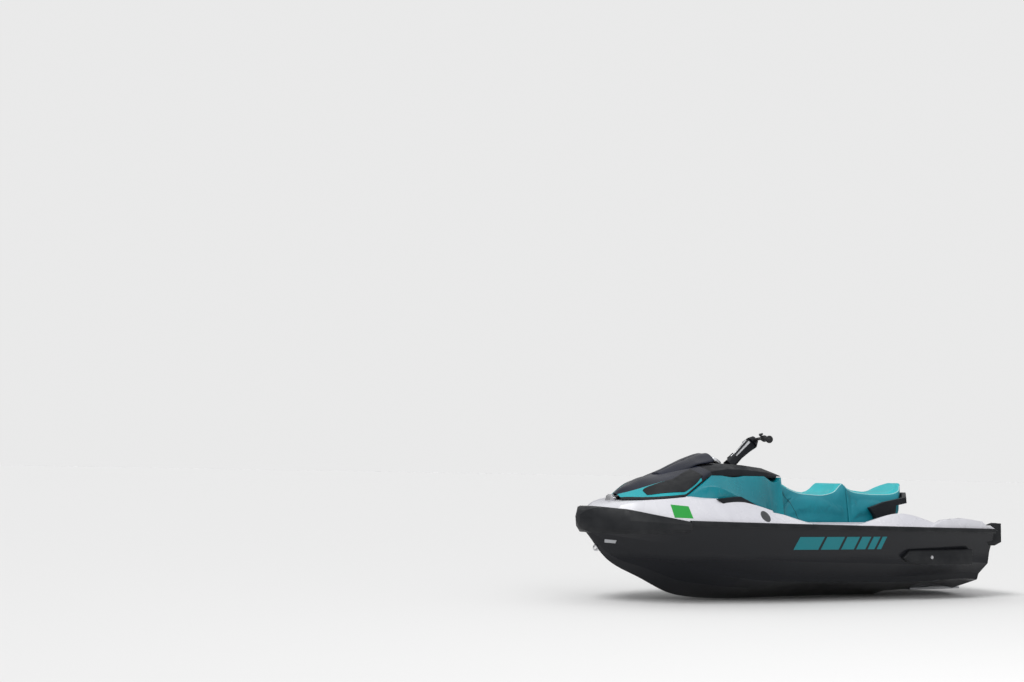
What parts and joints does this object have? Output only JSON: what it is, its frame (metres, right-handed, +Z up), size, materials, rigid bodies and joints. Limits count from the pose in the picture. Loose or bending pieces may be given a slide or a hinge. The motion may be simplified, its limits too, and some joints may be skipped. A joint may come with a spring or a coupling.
{
  "type": "personal watercraft",
  "caption": "Sit-on personal watercraft with a stepped vee hull, padded bench seat, handlebar steering, jet pump with reverse bucket, hinged hood and rear boarding step.",
  "frame": {"origin": "on the waterline, on the centre plane at the middle of the length", "axes": "+X to the bow, +Y to port, +Z up"},
  "size_m": [3.4505, 1.2548, 1.1727],
  "materials": {
    "hull": "gloss gelcoat",
    "white_deck": "gloss gelcoat",
    "teal_body": "gloss gelcoat",
    "dark_hood": "gloss gelcoat",
    "black_plastic": "moulded, fine grain",
    "seat_vinyl": "coated marine vinyl",
    "mat_foam": "grooved foam",
    "bumper_rubber": "satin",
    "bar_metal": "black",
    "pump_metal": "cast",
    "steel": "stainless",
    "impeller_steel": "polished stainless",
    "engine": "plain block",
    "mirror_glass": "mirror",
    "display_glass": "smoked cover"
  },
  "bodies": {
    "craft": {"hull": "hull", "deck": "white_deck", "bow_bumper": "bumper_rubber", "cowl": "teal_body", "console": "black_plastic", "gauge_display": "display_glass", "seat_front": "seat_vinyl", "seat_rear": "seat_vinyl", "grab_handle": "black_plastic", "engine_block": "engine", "pump_housing": "pump_metal", "ride_plate": "pump_metal", "intake_grate": "steel", "step_bracket": "steel", "platform_mat": "mat_foam", "drain_plugs": "black_plastic", "tow_eye": "steel", "bow_eye": "steel", "rub_rail_left": "bumper_rubber", "rub_rail_right": "bumper_rubber", "footwell_mat_left": "mat_foam", "footwell_mat_right": "mat_foam", "sponson_left": "black_plastic", "sponson_right": "black_plastic", "stern_bumper_left": "bumper_rubber", "stern_bumper_right": "bumper_rubber", "side_vent_left": "black_plastic", "side_vent_right": "black_plastic", "hood_hinge": "steel"},
    "steering": {"steering_neck": "black_plastic", "handlebar": "bar_metal", "steering_cover": "black_plastic", "throttle_lever": "bar_metal", "brake_lever": "bar_metal", "grip_left": "black_plastic", "grip_right": "black_plastic"},
    "nozzle": {"steering_nozzle": "pump_metal"},
    "bucket": {"reverse_bucket": "pump_metal"},
    "impeller": {"impeller": "impeller_steel"},
    "hood": {"hood": "dark_hood", "mirror_housing_left": "black_plastic", "mirror_housing_right": "black_plastic", "mirror_glass_left": "mirror_glass", "mirror_glass_right": "mirror_glass"},
    "glovebox": {"glovebox_lid": "black_plastic"},
    "step": {"boarding_step": "steel"}
  },
  "joints": [
    {"name": "steering_turn", "type": "hinge", "parent": "craft", "child": "steering", "pos_m": [0.475, 0, 0.715], "axis": [-0.766, 0, 0.6428], "range_deg": [-6, 46]},
    {"name": "nozzle_yaw", "type": "hinge", "parent": "craft", "child": "nozzle", "pos_m": [-1.512, 0, -0.075], "axis": [0, 0, 1], "range_deg": [-34.5, 4.5]},
    {"name": "bucket_drop", "type": "hinge", "parent": "craft", "child": "bucket", "pos_m": [-1.53, 0, -0.075], "axis": [0, -1, 0], "range_deg": [0, 75]},
    {"name": "impeller_spin", "type": "hinge", "parent": "craft", "child": "impeller", "pos_m": [-1.2, 0, -0.075], "axis": [1, 0, 0], "continuous": true},
    {"name": "hood_open", "type": "hinge", "parent": "craft", "child": "hood", "pos_m": [1.462, 0, 0.464], "axis": [0, 1, 0], "range_deg": [0, 60]},
    {"name": "glovebox_open", "type": "hinge", "parent": "craft", "child": "glovebox", "pos_m": [0.33, 0, 0.682], "axis": [0, 1, 0], "range_deg": [0, 60]},
    {"name": "step_fold", "type": "hinge", "parent": "craft", "child": "step", "pos_m": [-1.677, 0, 0.1509], "axis": [0, 1, 0], "range_deg": [0, 95]}
  ],
  "couplings": [
    {"joint": "nozzle_yaw", "follows": "steering_turn", "ratio": -0.75}
  ]
}
